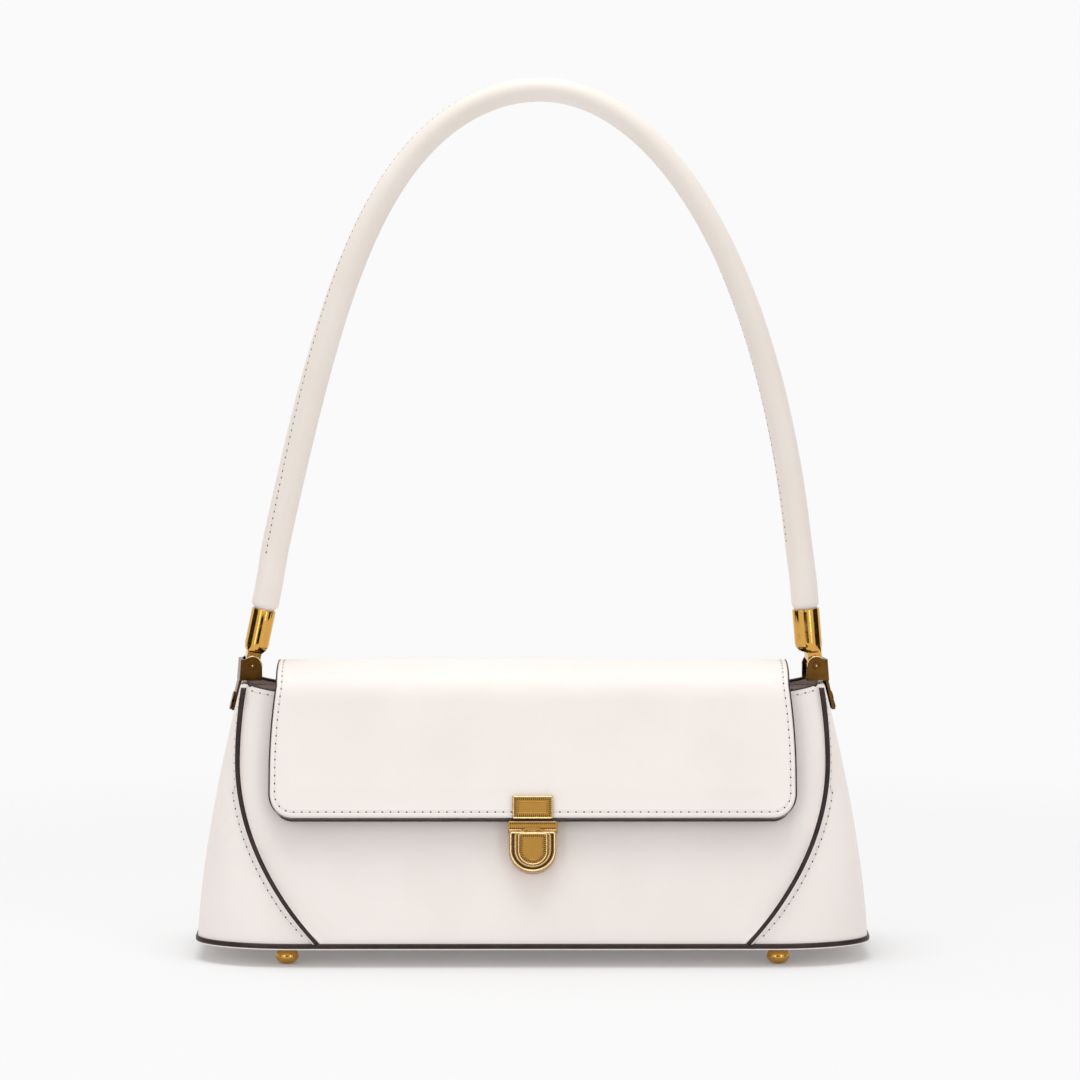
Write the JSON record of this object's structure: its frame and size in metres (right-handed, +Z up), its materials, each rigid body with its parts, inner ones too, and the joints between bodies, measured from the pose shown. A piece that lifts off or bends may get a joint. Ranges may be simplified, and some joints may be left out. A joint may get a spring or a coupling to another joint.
{
  "type": "handbag",
  "caption": "Structured leather flap bag with a push lock, a zip closure, dome feet and one rolled handle in a tall arch.",
  "frame": {"origin": "on the floor, under the middle of the base", "axes": "+Z up, +Y towards the back, +X to the right as seen from the front, where the lock is"},
  "size_m": [0.2708, 0.0918, 0.3517],
  "materials": {
    "leather": "smooth, off-white, low sheen",
    "edge_paint": "dark brown painted edge, satin",
    "lining": "dark brown suede and twill",
    "board": "pressed fibre board",
    "zip_tape": "dark brown woven tape",
    "zip_coil": "dark brown moulded coil",
    "gold": "polished light gold plating",
    "antique_gold": "antique gold plating, dark in its recesses",
    "steel": "plain nickel-plated steel",
    "cord": "twisted cotton cord"
  },
  "bodies": {
    "bag": {"front_panel": "leather", "back_panel": "leather", "left_gusset": "leather", "right_gusset": "leather", "base_panel": "leather", "base_board": "board", "lining": "lining", "base_edge": "edge_paint", "front_seam_edges": "edge_paint", "back_seam_edges": "edge_paint", "front_top_edge": "edge_paint", "back_top_edge": "edge_paint", "feet": "gold", "foot_washers": "steel", "foot_nuts": "steel", "flap_tail": "leather", "lock_frame": "antique_gold", "lock_spring": "steel", "lock_backplate": "steel", "lock_studs": "steel", "left_bracket": "antique_gold", "right_bracket": "antique_gold", "left_pin": "gold", "right_pin": "gold", "bracket_rivets": "gold", "bracket_backings": "steel", "zip_frame": "zip_tape", "zip_fixed_coil": "zip_coil"},
    "flap": {"flap_leather": "leather", "flap_lining": "lining", "flap_edge": "edge_paint", "flap_plate": "gold", "tongue": "antique_gold", "flap_rivets": "gold"},
    "button": {"lock_button": "gold"},
    "ferrule_left": {"left_ferrule": "gold", "left_bend_leather": "leather"},
    "ferrule_right": {"right_ferrule": "gold", "right_bend_leather": "leather"},
    "handle_end_left": {"left_bend_core": "cord"},
    "handle_end_right": {"right_bend_core": "cord"},
    "handle": {"handle_leather": "leather", "handle_core": "cord"},
    "zip_front": {"zip_front_tape": "zip_tape", "zip_front_coil": "zip_coil"},
    "zip_back": {"zip_back_tape": "zip_tape", "zip_back_coil": "zip_coil"},
    "slider": {"zip_slider": "gold"},
    "pull": {"zip_pull": "gold"}
  },
  "joints": [
    {"name": "flap_hinge", "type": "hinge", "parent": "bag", "child": "flap", "pos_m": [0, 0.01835, 0.10875], "axis": [-1, 0, 0], "range_deg": [0, 40]},
    {"name": "lock_press", "type": "slide", "parent": "bag", "child": "button", "axis": [0, 0.9651, -0.2618], "range_m": [0, 0.0012], "stiffness_N_per_m": 400, "deforming": ["lock_spring"]},
    {"name": "left_ferrule_pivot", "type": "hinge", "parent": "bag", "child": "ferrule_left", "pos_m": [-0.1137, 0, 0.116], "axis": [-0.1564, 0.9877, 0], "range_deg": [-3, 3]},
    {"name": "right_ferrule_pivot", "type": "hinge", "parent": "bag", "child": "ferrule_right", "pos_m": [0.1137, 0, 0.116], "axis": [-0.1564, 0.9877, 0], "range_deg": [-3, 3]},
    {"name": "left_end_flex", "type": "hinge", "parent": "ferrule_left", "child": "handle_end_left", "pos_m": [-0.10716, 0.00104, 0.14475], "axis": [-0.1564, 0.9877, 0], "range_deg": [-3.3, 3.3]},
    {"name": "right_end_flex", "type": "hinge", "parent": "ferrule_right", "child": "handle_end_right", "pos_m": [0.10969, -0.00064, 0.14526], "axis": [-0.1564, 0.9877, 0], "range_deg": [-3.3, 3.3]},
    {"name": "handle_swing", "type": "hinge", "parent": "handle_end_left", "child": "handle", "pos_m": [-0.10716, 0.00104, 0.14475], "axis": [-1, 0.0077, -0.0023], "range_deg": [-90, 90], "deforming": ["left_bend_leather", "right_bend_leather"]},
    {"name": "zip_front_fold", "type": "hinge", "parent": "bag", "child": "zip_front", "pos_m": [0, -0.013, 0.1054], "axis": [-1, 0, 0], "range_deg": [0, 78]},
    {"name": "zip_back_fold", "type": "hinge", "parent": "bag", "child": "zip_back", "pos_m": [0, 0.013, 0.1054], "axis": [1, 0, 0], "range_deg": [0, 78]},
    {"name": "slider_run", "type": "slide", "parent": "bag", "child": "slider", "axis": [1, 0, 0], "range_m": [0, 0.19]},
    {"name": "pull_lift", "type": "hinge", "parent": "slider", "child": "pull", "pos_m": [-0.0973, 0, 0.1084], "axis": [0, -1, 0], "range_deg": [0, 16]}
  ],
  "couplings": [
    {"joint": "right_ferrule_pivot", "follows": "left_ferrule_pivot", "ratio": 0.9822},
    {"joint": "left_end_flex", "follows": "left_ferrule_pivot", "ratio": -1.0499},
    {"joint": "right_end_flex", "follows": "left_ferrule_pivot", "ratio": -1.032},
    {"joint": "zip_back_fold", "follows": "zip_front_fold", "ratio": 1}
  ]
}
